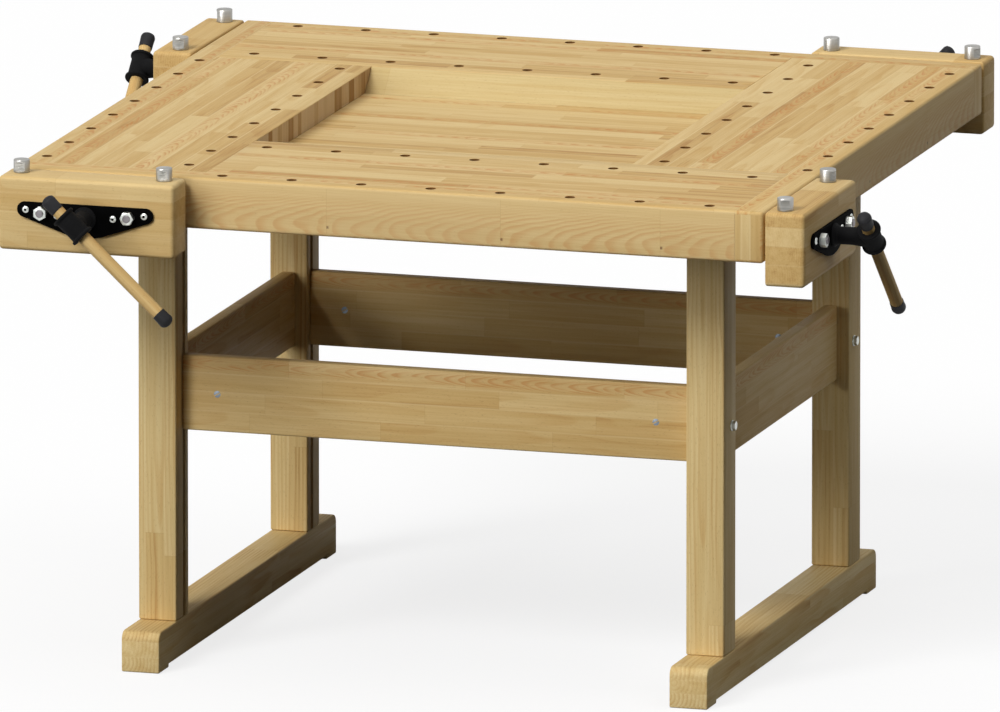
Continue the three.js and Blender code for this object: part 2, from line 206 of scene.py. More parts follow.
# Faces that pass the test take another of the piece's finishes.
def paintFaces(piece, finishNumber, test):
    for face in piece.data.polygons:
        if test(face.center, face.normal):
            face.material_index = finishNumber


# Gives a finished piece its finishes and its body, and hides the nodes that it stands for.
def fitPiece(piece, finishes, body, slot, *nodes):
    for finish in finishes:
        piece.data.materials.append(finish)
    makeActive(piece)
    bpy.ops.object.shade_smooth_by_angle(angle=math.radians(smoothAngle))
    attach(piece, body)
    if nodes:
        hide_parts(*nodes)


# Puts a copy of a modelled piece in its place.
def fitCopy(piece, name, matrix, finishes, body, slot, *nodes):
    fitPiece(copyPiece(piece, name, matrix), finishes, body, slot, *nodes)


def sideTurn(index):
    return Matrix.Rotation(index * math.pi / 2, 4, "Z")


# How far a side's jaw stands out from the bench's middle.
def jawStandOut(index):
    corners = [sideTurn(-index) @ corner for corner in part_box("jaw_" + sideNames[index])]
    return -min(corner.y for corner in corners)


# Takes a vise piece from the front side to another side.
def viseTurn(index):
    shift = jawStandOut(index) - jawStandOut(0)
    return sideTurn(index) @ Matrix.Translation((0, -shift, 0))


# Shader helpers

# An output socket. Python operators on it add Math nodes.
class Wire:
    def __init__(self, tree, socket):
        self.tree = tree
        self.socket = socket

    def node(self, kind, settings, inputs, output=0):
        made = self.tree.nodes.new("ShaderNode" + kind)
        for key, value in settings.items():
            setattr(made, key, value)
        for key, value in inputs.items():
            if isinstance(value, Wire):
                self.tree.links.new(value.socket, made.inputs[key])
            else:
                made.inputs[key].default_value = value
        return Wire(self.tree, made.outputs[output])

    def sibling(self, output):
        return Wire(self.tree, self.socket.node.outputs[output])

    def maths(self, operation, *values):
        return self.node("Math", {"operation": operation}, dict(enumerate(values)))

    def __add__(self, other):
        return self.maths("ADD", self, other)

    def __sub__(self, other):
        return self.maths("SUBTRACT", self, other)

    def __rsub__(self, other):
        return self.maths("SUBTRACT", other, self)

    def __mul__(self, other):
        return self.maths("MULTIPLY", self, other)

    def __truediv__(self, other):
        return self.maths("DIVIDE", self, other)

    def __pow__(self, other):
        return self.maths("POWER", self, other)

    __radd__ = __add__
    __rmul__ = __mul__

    def fraction(self):
        return self.maths("FRACT", self)

    # 0 below low, 1 above high, smooth between
    def rise(self, low, high):
        ends = {"Value": self, "From Min": low, "From Max": high}
        return self.node("MapRange", {"interpolation_type": "SMOOTHSTEP"}, ends)

    def noise(self, detail, roughness=0.5, scale=1):
        inputs = {"Vector": self, "Scale": scale, "Detail": detail, "Roughness": roughness}
        return self.node("TexNoise", {}, inputs)

    def mix(self, first, second):
        return self.node("Mix", {"data_type": "RGBA"}, {0: self, 6: first, 7: second}, 2)

    def into(self, shader, name):
        self.tree.links.new(self.socket, shader.inputs[name])


# Linear colour from a hex sRGB one.
def colour(hexText):
    parts = [int(hexText[at:at + 2], 16) / 255 for at in (0, 2, 4)]
    return (*[p / 12.92 if p <= 0.04045 else ((p + 0.055) / 1.055) ** 2.4 for p in parts], 1)


def startFinish(name, specular=0.5):
    finish = bpy.data.materials.new(name)
    finish.use_nodes = True
    tree = finish.node_tree
    shader = tree.nodes["Principled BSDF"]
    shader.inputs["Specular IOR Level"].default_value = specular
    coordinates = tree.nodes.new("ShaderNodeTexCoord")
    return finish, shader, Wire(tree, coordinates.outputs["Object"])


def addBump(shader, height, distance, strength):
    sizes = {"Height": height, "Distance": distance, "Strength": strength}
    height.node("Bump", {}, sizes).into(shader, "Normal")


# Beech glued up from staves

beechLook = {
    "pale": "dabf88", "tan": "c9a76b", "brown": "ab824c", "orange": "c08040", "fleck": "94693a",
    "knot": "6e3f1f", "glueLine": "e6d2a2", "roughness": 0.55, "fibreDepth": 0.0001, "specular": 0.15,
}
legLook = dict(beechLook, pale="dfc994", tan="ceb075")
rampLook = dict(beechLook, pale="cdbb8c", tan="bda46e")
# Well walls: darker and greyer than the other beech, partly the stave ends' own darker tone and partly
# painted shade of the walls down in the well.
wallShadeLook = dict(beechLook, pale="cbb28c", tan="b8996d", brown="997446")

# The same in all grains: noises in cycles per metre along and across the grain, and lengths in metres.
beechFigure = {
    "wander": (4, 16), "faint": (5, 20), "fibre": (9, 420), "fleck": (170, 1300), "cloud": (1.5, 75),
    "patch": (14, 110), "uneven": (18, 30), "sway": 0.008, "pithSpread": 0.018, "pithSway": 0.012,
    "archSway": 0.02, "archShift": 0.05, "rowSeam": (0.0004, 0.0018), "buttSeam": (0.0001, 0.0006),
    "knotLength": (0.002, 0.005), "knotStart": (-0.001, 0), "knotHeight": (0.001, 0.003),
    "faceFade": (0.03, 0.058),
}
# Lengths in metres. lean tilts the growth rings along the stave, pith is how deep their middle lies.
# Arches bent to the radius archBend show archGap apart in the rows with their middles at archRows,
# and, bent to faceBend, faceGap apart on the upright faces with their tips archFace below the middle.
boardGrain = {
    **beechFigure, "staveWidth": 0.0315, "staveLength": 0.3, "widthSpread": 0.4, "ringGap": 0.004,
    "lean": 0.02, "pith": 0.05, "figure": 0.16, "toneSpread": 0.85, "streaks": 1.2, "glue": 0.5,
    "archGap": 0.026, "archBend": 0.0018, "archRows": (0.0221, 0.148), "archStrength": 0.65,
    "archFace": None, "faceGap": 0.03, "faceBend": 0.0067,
}
floorGrain = dict(boardGrain, archRows=(0.0536, 0.1796, 0.3056, 0.4316, 0.5576))
apronGrain = dict(boardGrain, staveWidth=0.0225, staveLength=0.29, widthSpread=0, figure=0.1,
                  toneSpread=0.35, streaks=0.8, glue=0.3, archRows=(0.0338,), archFace=0.026)
jawGrain = dict(boardGrain, staveWidth=0.115 / 4, staveLength=0.25, widthSpread=0.25, lean=0.015,
                toneSpread=0.7, archRows=(), streaks=1.1, glue=0.2)
railGrain = dict(jawGrain, staveWidth=0.118 / 4, widthSpread=0.15, toneSpread=0.5, archBend=0.001,
                 archRows=(0.1055,), archStrength=0.55, glue=0.3)
legGrain = dict(jawGrain, staveWidth=0.0305, staveLength=0.9, widthSpread=0.4, ringGap=0.006, pith=0.03,
                figure=0.36, toneSpread=0.35, glue=0.15)
footGrain = dict(legGrain, staveWidth=0.0213, staveLength=0.6, widthSpread=0.3, toneSpread=0.45)
rampGrain = dict(legGrain, staveWidth=0.12, staveLength=0.7, widthSpread=0, ringGap=0.012, figure=0.1,
                 toneSpread=0.2, streaks=0.5)
barGrain = dict(legGrain, staveWidth=0.2, staveLength=3, widthSpread=0, toneSpread=0.1)
wallGrain = dict(boardGrain, staveWidth=0.026, staveLength=3, widthSpread=0.9, figure=0.1, toneSpread=1.8,
                 archRows=())
endGrain = dict(wallGrain, staveWidth=0.015, widthSpread=0.6, toneSpread=0.7)

# Grain, look and first seed of each kind of piece
beechKinds = {
    "strip": (apronGrain, beechLook, 1), "end": (endGrain, beechLook, 5),
    "board": (boardGrain, beechLook, 11), "wall": (wallGrain, wallShadeLook, 15),
    "floor": (floorGrain, beechLook, 21), "ramp": (rampGrain, rampLook, 23),
    "post": (legGrain, legLook, 31), "foot": (footGrain, legLook, 35), "rail": (railGrain, beechLook, 37),
    "jaw": (jawGrain, beechLook, 51), "bar": (barGrain, beechLook, 61),
}


def cells(position, randomness):
    settings = {"voronoi_dimensions": "1D", "feature": "F1"}
    inputs = {"W": position, "Scale": 1, "Randomness": randomness}
    middle = position.node("TexVoronoi", settings, inputs, "Color")
    edge = position.node("TexVoronoi", dict(settings, feature="DISTANCE_TO_EDGE"), inputs, "Distance")
    return middle, edge


def archLines(reach, sideways, gap, bend, offset):
    arch = ((reach - sideways * sideways / (2 * bend)) / gap + offset).fraction()
    return arch.rise(0, 0.12) * (1 - arch.rise(0.16, 0.75))


# Staves run along run and lie side by side along across, from start. centre is the piece's middle.
def beechFinish(kind, label, number, run, across, start, centre):
    grain, look, firstSeed = beechKinds[kind]
    seed = firstSeed + number
    finish, shader, place = startFinish(kind + "_beech" + label, look["specular"])
    run, across = Vector(run), Vector(across)
    ways = [run, across, run.cross(across)]
    dot = {"operation": "DOT_PRODUCT"}
    along, aside, inward = [
        place.node("VectorMath", dot, {0: place, 1: tuple(way)}, "Value") for way in ways]

    # noise drawn out along the grain, with an offset also changed from stave to stave
    def drawnOut(name, detail, roughness=0.5, offset=None):
        lengthwise, crosswise = grain[name]
        deep = inward + offset if offset else inward
        parts = {0: along * lengthwise, 1: aside * crosswise, 2: deep * crosswise}
        return along.node("CombineXYZ", {}, parts).noise(detail, roughness)

    # stave rows, then lengths along each row
    firstRow = 10 * seed + 0.5
    rows = (aside - start) / grain["staveWidth"] + firstRow
    rowCell, rowEdge = cells(rows, grain["widthSpread"])
    rowDice = rowCell.node("SeparateColor", {}, {0: rowCell})
    lengths = along / grain["staveLength"] + rowDice * 23 + 0.37 * seed
    staveCell, staveEdge = cells(lengths, 0.6)
    staveDice = staveCell.node("SeparateColor", {}, {0: staveCell})
    tone = (staveDice + rowDice.sibling(1)).fraction()
    hue = (staveDice.sibling(1) + rowDice.sibling(2)).fraction()
    offset = (staveDice.sibling(2) + rowDice).fraction()

    # growth rings round a pith that leans across the stave
    wander = drawnOut("wander", 2) - 0.5
    reach = (lengths - staveCell.sibling("W")) * grain["staveLength"]
    inRow = rows - rowCell.sibling("W")
    sideways = inRow * grain["staveWidth"]
    depth = inward - centre.dot(ways[2])
    swayed = sideways + wander * grain["sway"]
    beside = swayed + (offset - 0.5) * grain["pithSpread"]
    below = depth + (hue * 0.8 + 0.6) * grain["pith"] + reach * grain["lean"]
    below = below + wander * grain["pithSway"]
    ring = ((beside * beside + below * below) ** 0.5 / grain["ringGap"]).fraction()
    faint = drawnOut("faint", 1, offset=offset).rise(0.3, 0.7)
    lateWood = ring.rise(0.3, 0.9) * (1 - ring.rise(0.9, 1)) * (faint * 0.8 + 0.2)

    # fibres, short flecks and warm streaks, drawn out along the stave
    fibre = drawnOut("fibre", 4, 0.62)
    flecks = drawnOut("fleck", 1).rise(0.66, 0.74)
    cloud = drawnOut("cloud", 3, 0.6, offset)
    patches = drawnOut("patch", 2, offset=offset)

    # arches where a stave shows its growth rings lengthwise
    blush, knots = lateWood * grain["figure"] * 0.5, None
    uneven = reach + wander * grain["archSway"] + (drawnOut("uneven", 1) - 0.5) * grain["archShift"]
    if grain["archRows"]:
        misses = [rowCell.sibling("W") - (at / grain["staveWidth"] + firstRow) for at in grain["archRows"]]
        archRow = sum(1 - (miss * miss).rise(0.2, 0.25) for miss in misses)
        arches = archLines(uneven, swayed, grain["archGap"], grain["archBend"], offset)
        warm = (arches * 0.9 + 0.15) * patches.rise(0.3, 0.6) * archRow
        warm = warm * inRow.rise(-0.45, -0.25) * (1 - inRow.rise(0.25, 0.45))
        blush = blush + warm * grain["archStrength"]
    if grain["archFace"] is not None:
        height = depth + grain["archFace"] + wander * grain["sway"]
        arches = archLines(uneven, height, grain["faceGap"], grain["faceBend"], offset)
        faded = 1 - height.rise(*grain["faceFade"])
        blush = blush + arches * patches.rise(0.1, 0.6) * faded * 0.5
        knots = 1 - (staveEdge * grain["staveLength"]).rise(*grain["knotLength"])
        knots = knots * (1 - reach.rise(*grain["knotStart"]))
        knots = knots * (1 - ((height * height) ** 0.5).rise(*grain["knotHeight"]))

    shade = (tone - 0.5) * grain["toneSpread"] + lateWood * grain["figure"] + (fibre - 0.5) * 0.9
    shade = shade + (cloud - 0.5) * grain["streaks"] + 0.36
    body = shade.rise(-0.2, 0.75).mix(colour(look["pale"]), colour(look["tan"]))
    body = shade.rise(0.55, 1.3).mix(body, colour(look["brown"]))
    body = blush.mix(body, colour(look["orange"]))
    body = (flecks * 0.4).mix(body, colour(look["fleck"]))
    if knots:
        body = knots.mix(body, colour(look["knot"]))
    rowSeam = 1 - (rowEdge * grain["staveWidth"]).rise(*grain["rowSeam"])
    body = (rowSeam * (tone * 0.6 + 0.4) * grain["glue"]).mix(body, colour(look["glueLine"]))
    buttSeam = 1 - (staveEdge * grain["staveLength"]).rise(*grain["buttSeam"])
    body = (buttSeam * 0.3).mix(body, colour(look["brown"]))
    body.into(shader, "Base Color")
    (look["roughness"] + (fibre - 0.5) * 0.25 + lateWood * 0.06).into(shader, "Roughness")
    addBump(shader, fibre - rowSeam * 0.3 - buttSeam * 0.5, look["fibreDepth"], 0.5)
    return finish


# Metal, casting and rubber

# noises in cycles per metre, depth in metres
steelGrain = {"brush": (40, 40, 2200), "cloud": 45}
wearScale = 38
holeShadeGrain = {"scale": 700, "depth": 0.0001, "specular": 0.1}


def steelFinish(name, tint, roughness):
    finish, shader, place = startFinish(name)
    brushed = place.node("Mapping", {}, {"Vector": place, "Scale": steelGrain["brush"]}).noise(2)
    cloud = place.noise(2, scale=steelGrain["cloud"])
    sheen = (cloud + brushed).rise(0.7, 1.3)
    sheen.mix(colour(tint[0]), colour(tint[1])).into(shader, "Base Color")
    (roughness + (brushed - 0.5) * 0.1 + (cloud - 0.5) * 0.1).into(shader, "Roughness")
    shader.inputs["Metallic"].default_value = 1
    return finish


def darkFinish(name, tint, roughness, specular, bumpScale, bumpDepth):
    finish, shader, place = startFinish(name, specular)
    pebble = place.noise(3, 0.6, bumpScale)
    worn = place.noise(4, scale=wearScale)
    worn.rise(0.35, 0.75).mix(colour(tint[0]), colour(tint[1])).into(shader, "Base Color")
    (roughness + (pebble - 0.5) * 0.25 + (worn - 0.5) * 0.15).into(shader, "Roughness")
    addBump(shader, pebble, bumpDepth, 0.6)
    return finish


# Dark brown for the walls of the dog and vise holes: painted shade that makes the holes read as dark,
# darker than the beech's own colour.
def holeShadeFinish(name, tint):
    finish, shader, place = startFinish(name, holeShadeGrain["specular"])
    rough = place.noise(3, scale=holeShadeGrain["scale"])
    rough.rise(0.3, 0.7).mix(colour(tint[0]), colour(tint[1])).into(shader, "Base Color")
    (rough * 0.2 + 0.75).into(shader, "Roughness")
    addBump(shader, rough, holeShadeGrain["depth"], 0.5)
    return finish


zinc = steelFinish("zinc_plate", ("b8bcb8", "d4d7d1"), 0.34)
barrelSteel = steelFinish("barrel_steel", ("6c747c", "828a92"), 0.55)
studSteel = steelFinish("stud_steel", ("6e6a6c", "848082"), 0.42)
dogSteel = steelFinish("dog_steel", ("9e9e9a", "bdbbb6"), 0.36)
rodSteel = steelFinish("rod_steel", ("8f9498", "b9bdc0"), 0.3)
blackPaint = darkFinish("black_paint", ("030303", "070708"), 0.75, 0.02, 900, 0.00003)
blackCasting = darkFinish("black_casting", ("09090a", "131314"), 0.78, 0.1, 620, 0.00008)
rubberCap = darkFinish("rubber", ("19191b", "232326"), 0.6, 0.2, 1400, 0.00004)
# near black inside the screw sockets: painted shade in the recess
socketShadeBlack = darkFinish("screw_recess", ("0a0a0a", "121212"), 0.7, 0.1, 900, 0.00001)
# hole walls: painted shade in dark brown
holeWallShade = holeShadeFinish("drilled_beech", ("5f3d1e", "7f5930"))
print("metal finishes made")

xWay, yWay, zWay = (1, 0, 0), (0, 1, 0), (0, 0, 1)
runWays = [(1, 0, 0), (0, 1, 0), (-1, 0, 0), (0, -1, 0)]      # boards and strips, side by side
sideWays = [(0, 1, 0), (-1, 0, 0), (0, -1, 0), (1, 0, 0)]


def lowAlong(node, way):
    return min(corner.dot(Vector(way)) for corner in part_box(node))


def middleOf(node):
    low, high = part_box(node)
    return (low + high) / 2


# Bench top

topHoles = {
    "radius": 0.0079, "flare": 0.0002, "pitch": 0.1112, "firstFromEnd": 0.0925, "count": 8,
    "outerRow": 0.0263, "innerRow": 0.255, "reach": 0.004,
}
stripShape = {"edgeRadius": 0.005, "edgeSteps": 4}
# seam closes the joint to the next strip
boardShape = {"edge": 0.0002, "wellEdge": 0.0012, "wellEdgeSteps": 3, "seam": 0.0003}
viseHoles = {"rodRadius": 0.0104, "spindleRadius": 0.0125}

topEdge = -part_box("apron_front")[0].y
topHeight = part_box("apron_front")[1].z


def dogHoleCutter(places, bottom):
    radius, flare, reach = topHoles["radius"], topHoles["flare"], topHoles["reach"]
    mouth = (radius + flare + reach, topHeight + reach)
    pin = addTurned("dog_hole_cutter", [(radius, bottom - reach), (radius, topHeight - flare), mouth], 48)
    pins = [copyPiece(pin, "pin", Matrix.Translation((x, y, 0))) for x, y in places]
    bpy.data.objects.remove(pin)
    return joinPieces("dog_hole_cutter", pins)


# The walls of the holes take finish 1, the dark brown painted shade.
def paintHoleShade(piece, places):
    near = topHoles["radius"] + 2 * topHoles["flare"]
    paintFaces(piece, 1, lambda at, normal: abs(normal.z) < facing and any(
        math.hypot(at.x - x, at.y - y) < near for x, y in places))


def rowPlaces(fromEdge):
    first = topEdge - topHoles["firstFromEnd"]
    return [(first - at * topHoles["pitch"], fromEdge - topEdge) for at in range(topHoles["count"])]


def viseHoleCutters(low, high):
    reach = topHoles["reach"]
    start, length = low - reach, high - low + 2 * reach
    holes = [(x, rodHeight, viseHoles["rodRadius"]) for x in rodPlaces]
    holes.append((jawMiddle, spindleHeight, viseHoles["spindleRadius"]))
    cutters = []
    for x, z, radius in holes:
        pin = addRod("vise_hole_cutter", radius, 0, length)
        cutters.append(laid(pin, yWay, (x, start, z)))
    return cutters


jawLow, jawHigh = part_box("jaw_front")
jawMiddle = (jawLow.x + jawHigh.x) / 2
rodLow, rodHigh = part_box("guide_rods_front")
viseAxes = {"rodSpacing": 0.1394, "rodDrop": 0.0525, "spindleDrop": 0.058}
rodHeight = topHeight - viseAxes["rodDrop"]
spindleHeight = topHeight - viseAxes["spindleDrop"]
rodPlaces = [jawMiddle - viseAxes["rodSpacing"] / 2, jawMiddle + viseAxes["rodSpacing"] / 2]


def makeStrip():
    low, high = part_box("apron_front")
    strip = addBox("apron_strip", low, high)
    onFront = lambda at: same(at.y, low.y) and (same(at.z, low.z) or same(at.z, high.z))
    onEnd = lambda at: same(at.x, low.x) and not same(at.y, high.y)
    radius, steps = stripShape["edgeRadius"], stripShape["edgeSteps"]
    bevelEdges(strip, radius, steps, lambda at: onFront(at) or onEnd(at))
    places = rowPlaces(topHoles["outerRow"])
    cutAway(strip, dogHoleCutter(places, low.z))
    paintHoleShade(strip, places)
    cutAway(strip, *viseHoleCutters(low.y, high.y))
    paintFaces(strip, 2, lambda at, normal: normal.x < -facing and at.x < low.x + 10 * nearly)
    return strip


def makeBoard():
    low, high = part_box("board_front")
    seam = Vector((boardShape["seam"], boardShape["seam"], 0))
    low, high = low - seam, high + Vector((seam.x, 0, 0))
    board = addBox("top_board", low, high)
    onWell = lambda at: same(at.y, high.y) and same(at.z, high.z)
    bevelEdges(board, boardShape["wellEdge"], boardShape["wellEdgeSteps"], onWell)
    softenEdges(board, boardShape["edge"], 1)
    places = rowPlaces(topHoles["innerRow"])
    cutAway(board, dogHoleCutter(places, low.z))
    paintHoleShade(board, places)
    # Board faces towards the well take finish 2, whose darker tone is partly painted shade.
    paintFaces(board, 2, lambda at, normal: normal.y > facing and at.y > high.y - nearly)
    return board


strip, board = makeStrip(), makeBoard()
for index, side in enumerate(sideNames):
    run, across, turn, label = runWays[index], sideWays[index], sideTurn(index), "_" + side
    node = "apron_" + side
    start, middle = lowAlong(node, across), middleOf(node)
    stripFinish = beechFinish("strip", label, index, run, across, start, middle)
    endFinish = beechFinish("end", label, index, zWay, across, start, middle)
    finishes = [stripFinish, holeWallShade, endFinish]
    fitCopy(strip, "apron_strip_" + side, turn, finishes, "bench", "beech", node)
    node = "board_" + side
    start, middle = lowAlong(node, across), middleOf(node)
    boardFinish = beechFinish("board", label, index, run, across, start, middle)
    wallFinish = beechFinish("wall", label, index, zWay, run, start, middle)
    finishes = [boardFinish, holeWallShade, wallFinish]
    fitCopy(board, "top_board_" + side, turn, finishes, "bench", "beech", node)
bpy.data.objects.remove(strip)
bpy.data.objects.remove(board)
print("apron strips and boards made")

# rampGrainDrop is how far below the floor the ramps' first stave starts
well = {"floorEdge": 0.0005, "rampRun": 0.037, "rampLip": 0.002, "rampEdge": 0.0016, "rampGrainDrop": 0.04}


def makeWell():
    low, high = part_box("well_tray")
    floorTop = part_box("board_front")[0].z - (topHeight - high.z)
    floor = addBox("well_floor", low, (high.x, high.y, floorTop))
    softenEdges(floor, well["floorEdge"], 1)
    middle = middleOf("well_tray")
    floorFinish = beechFinish("floor", "", 0, xWay, yWay, low.y, middle)
    fitPiece(floor, [floorFinish], "bench", "beech", "well_tray")
    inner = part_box("board_back")[0].y - (topHeight - high.z)
    for side, turns in (("back", 0), ("front", 2)):
        corner = (-inner, inner - well["rampRun"], floorTop)
        ramp = addBox("well_ramp_" + side, corner, (inner, inner, high.z))
        pickParts(ramp, "VERT", lambda at: at.y < inner - nearly and at.z > high.z - nearly)
        bpy.ops.transform.translate(value=(0, well["rampRun"] - well["rampLip"], 0))
        setMode("OBJECT")
        softenEdges(ramp, well["rampEdge"])
        ramp.data.transform(sideTurn(turns))
        start = floorTop - well["rampGrainDrop"]
        finish = beechFinish("ramp", "_" + side, turns, xWay, zWay, start, middle)
        fitPiece(ramp, [finish], "bench", "beech", "well_tray")


makeWell()
print("tool well made")

# Base

baseShape = {
    "edge": 0.003, "edgeSteps": 3, "grooveWidth": 0.013, "grooveDepth": 0.012, "footEndRadius": 0.014,
    "footEndSteps": 6, "footPad": 0.051, "footRelief": 0.005,
}


def makeLeg(node, acrossX, number):
    low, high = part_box(node)
    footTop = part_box("foot_left")[1].z + fitGap
    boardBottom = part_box("board_front")[0].z - fitGap
    leg = addBox("post_" + node, (low.x, low.y, footTop), (high.x, high.y, boardBottom))
    softenEdges(leg, baseShape["edge"], baseShape["edgeSteps"])
    railLow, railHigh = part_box("long_rail_front" if low.y < 0 else "long_rail_rear")
    middle = (railLow.y + railHigh.y) / 2
    inner = low.x if acrossX > 0 else high.x
    half, deep = baseShape["grooveWidth"] / 2, baseShape["grooveDepth"]
    cutAway(leg, addBox("groove_cutter", (inner - deep, middle - half, footTop - overrun),
                        (inner + deep, middle + half, topHeight)))
    finish = beechFinish("post", "_" + node, number, zWay, xWay, low.x, middleOf(node))
    fitPiece(leg, [finish], "bench", "beech", node)


def makeFoot(node, number):
    low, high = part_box(node)
    foot = addBox("sledge_" + node, low, high)
    atEnd = lambda at: same(at.z, high.z) and (same(at.y, low.y) or same(at.y, high.y))
    bevelEdges(foot, baseShape["footEndRadius"], baseShape["footEndSteps"], atEnd)
    pad, relief = baseShape["footPad"], baseShape["footRelief"]
    cutAway(foot, addBox("relief_cutter", (low.x - overrun, low.y + pad, -overrun),
                         (high.x + overrun, high.y - pad, relief)))
    softenEdges(foot, baseShape["edge"], baseShape["edgeSteps"])
    finish = beechFinish("foot", "_" + node, number, yWay, zWay, 0, middleOf(node))
    fitPiece(foot, [finish], "bench", "beech", node)


def makeRail(node, run, reach, number):
    low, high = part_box(node)
    low, high = Vector(low), Vector(high)
    axis = run.index(1)
    low[axis], high[axis] = -reach, reach
    rail = addBox("stretcher_" + node, low, high)
    softenEdges(rail, baseShape["edge"], baseShape["edgeSteps"])
    finish = beechFinish("rail", "_" + node, number, run, zWay, low.z, middleOf(node))
    fitPiece(rail, [finish], "bench", "beech", node)


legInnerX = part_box("leg_front_right")[0].x - fitGap
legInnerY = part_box("leg_rear_right")[0].y - fitGap
for number, (hand, acrossX) in enumerate(handSigns):
    makeLeg("leg_front_" + hand, acrossX, number)
    makeLeg("leg_rear_" + hand, acrossX, number + 2)
    makeFoot("foot_" + hand, number)
    makeRail("end_rail_" + hand, yWay, legInnerY, number)
makeRail("long_rail_front", xWay, legInnerX, 2)
makeRail("long_rail_rear", xWay, legInnerX, 3)
print("base made")


# Fasteners

hexShape = {"chamferShare": 0.6, "trimReach": 0.0004}
# spins in radians
railBolt = {
    "headFlats": 0.013, "headHeight": 0.0055, "washerRadius": 0.0085, "washerHeight": 0.0016,
    "washerEdge": 0.0003, "spin": 0.4,
}
barrelNut = {
    "radius": 0.0055, "fromLeg": 0.057, "slotWidth": 0.0016, "slotDepth": 0.0018, "edge": 0.0005,
    "proud": 0.0002, "spin": 0.5,
}


def hexCorner(acrossFlats):
    return acrossFlats / 2 / math.cos(math.pi / 6)


def hexHead(name, acrossFlats, thickness):
    flat, corner = acrossFlats / 2, hexCorner(acrossFlats)
    head = addRod(name, corner, 0, thickness, 6)
    chamfer, rim = (corner - flat) * hexShape["chamferShare"], corner + hexShape["trimReach"]
    trim = addTurned("chamfer_tool", [
        (flat, 0), (rim, chamfer), (rim, thickness - chamfer), (flat, thickness)], 48)
    combine(head, trim, "INTERSECT")
    return head


# Copies a fastener to both ends of the long rails. placeAt gives its matrix from the leg and the rail.
def fitRailEnds(piece, finish, placeAt):
    for hand, acrossX in handSigns:
        for end in ("front", "rear"):
            matrix = placeAt(acrossX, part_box(f"leg_{end}_{hand}"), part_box("long_rail_" + end))
            fitCopy(piece, f"{piece.name}_{end}_{hand}", matrix, [finish], "bench", "steel")
    bpy.data.objects.remove(piece)


def makeRailBolts():
    radius, height = railBolt["washerRadius"], railBolt["washerHeight"]
    washer = addRod("rail_bolt", radius, 0, height)
    softenEdges(washer, railBolt["washerEdge"])
    head = hexHead("bolt_head", railBolt["headFlats"], railBolt["headHeight"])
    head.data.transform(Matrix.Translation((0, 0, height)))

    def placeAt(acrossX, leg, rail):
        middle = (rail[0] + rail[1]) / 2
        face = leg[1].x if acrossX > 0 else leg[0].x
        return layAlong((acrossX, 0, 0), (face, middle.y, middle.z), railBolt["spin"])

    fitRailEnds(joinPieces("rail_bolt", [washer, head]), zinc, placeAt)


def makeBarrelNuts():
    low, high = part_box("long_rail_front")
    radius, proud = barrelNut["radius"], barrelNut["proud"]
    length = high.y - low.y + 2 * proud
    nut = addRod("barrel_nut", radius, 0, length, 32)
    softenEdges(nut, barrelNut["edge"])
    half, deep = barrelNut["slotWidth"] / 2, barrelNut["slotDepth"]
    cutAway(nut, addBox("slot_cutter", (-2 * radius, -half, length - deep),
                        (2 * radius, half, length + deep)))

    def placeAt(acrossX, leg, rail):
        x, z = acrossX * (legInnerX - barrelNut["fromLeg"]), (rail[0].z + rail[1].z) / 2
        return layAlong((0, -1, 0), (x, rail[1].y + proud, z), barrelNut["spin"])

    fitRailEnds(nut, barrelSteel, placeAt)


makeRailBolts()
makeBarrelNuts()
print("fasteners made")

# Vises, modelled at the front side

# recessReach is the length of the recess's cutter
jawShape = {
    "edge": 0.007, "edgeSteps": 5, "innerEdge": 0.003, "innerSteps": 3, "dogSetback": 0.025,
    "recessRadius": 0.0175, "recessDepth": 0.008, "recessReach": 0.03,
}
# angles in degrees
plateShape = {
    "lobeRadius": 0.012, "apexRadius": 0.105, "apexSpread": 20, "apexSteps": 8, "edge": 0.0009,
    "flatAngle": 1,
}
# each screw is turned by turn radians more than the last
screwShape = {
    "headRadius": 0.0056, "headHeight": 0.0024, "domeSteps": 8, "shankRadius": 0.0028, "shankLength": 0.004,
    "socketFlats": 0.0042, "socketFloor": 0.0004, "turn": 0.3,
}
# from the jaw's middle, and below the top
screwPlaces = [(-0.095, 0.049), (-0.045, 0.056), (0.045, 0.056), (0.095, 0.049)]
nutShape = {
    "flats": 0.019, "height": 0.01, "studRadius": 0.006, "studEnd": 0.002, "tipInset": 0.0009,
    "tipRun": 0.0008, "turns": (0, 30),
}
rodShape = {
    "radius": 0.01, "chamfer": 0.001, "tieThickness": 0.012, "tieHeight": 0.02, "tieEdge": 0.0015,
    "tieOverlap": 0.001,
}
outward = Vector((0, -1, 0))
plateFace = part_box("screw_plate_front")[0].y
dogStations = [topHoles["outerRow"] - topEdge, topHoles["innerRow"] - topEdge]


# Lays a round piece along the spindle, from a distance across the bench.
def onSpindle(piece, y):
    return laid(piece, yWay, (jawMiddle, y, spindleHeight))


def makeJaw():
    jaw = addBox("vise_jaw", jawLow, jawHigh)
    bevelEdges(jaw, jawShape["edge"], jawShape["edgeSteps"], lambda at: at.y < jawHigh.y - nearly)
    softenEdges(jaw, jawShape["innerEdge"], jawShape["innerSteps"])
    dogY = jawHigh.y - jawShape["dogSetback"]
    places = [(x, dogY) for x in dogStations]
    cutAway(jaw, dogHoleCutter(places, jawLow.z))
    paintHoleShade(jaw, places)
    recess = addRod("recess_cutter", jawShape["recessRadius"], 0, jawShape["recessReach"])
    cutAway(jaw, onSpindle(recess, jawHigh.y - jawShape["recessDepth"]))
    return jaw


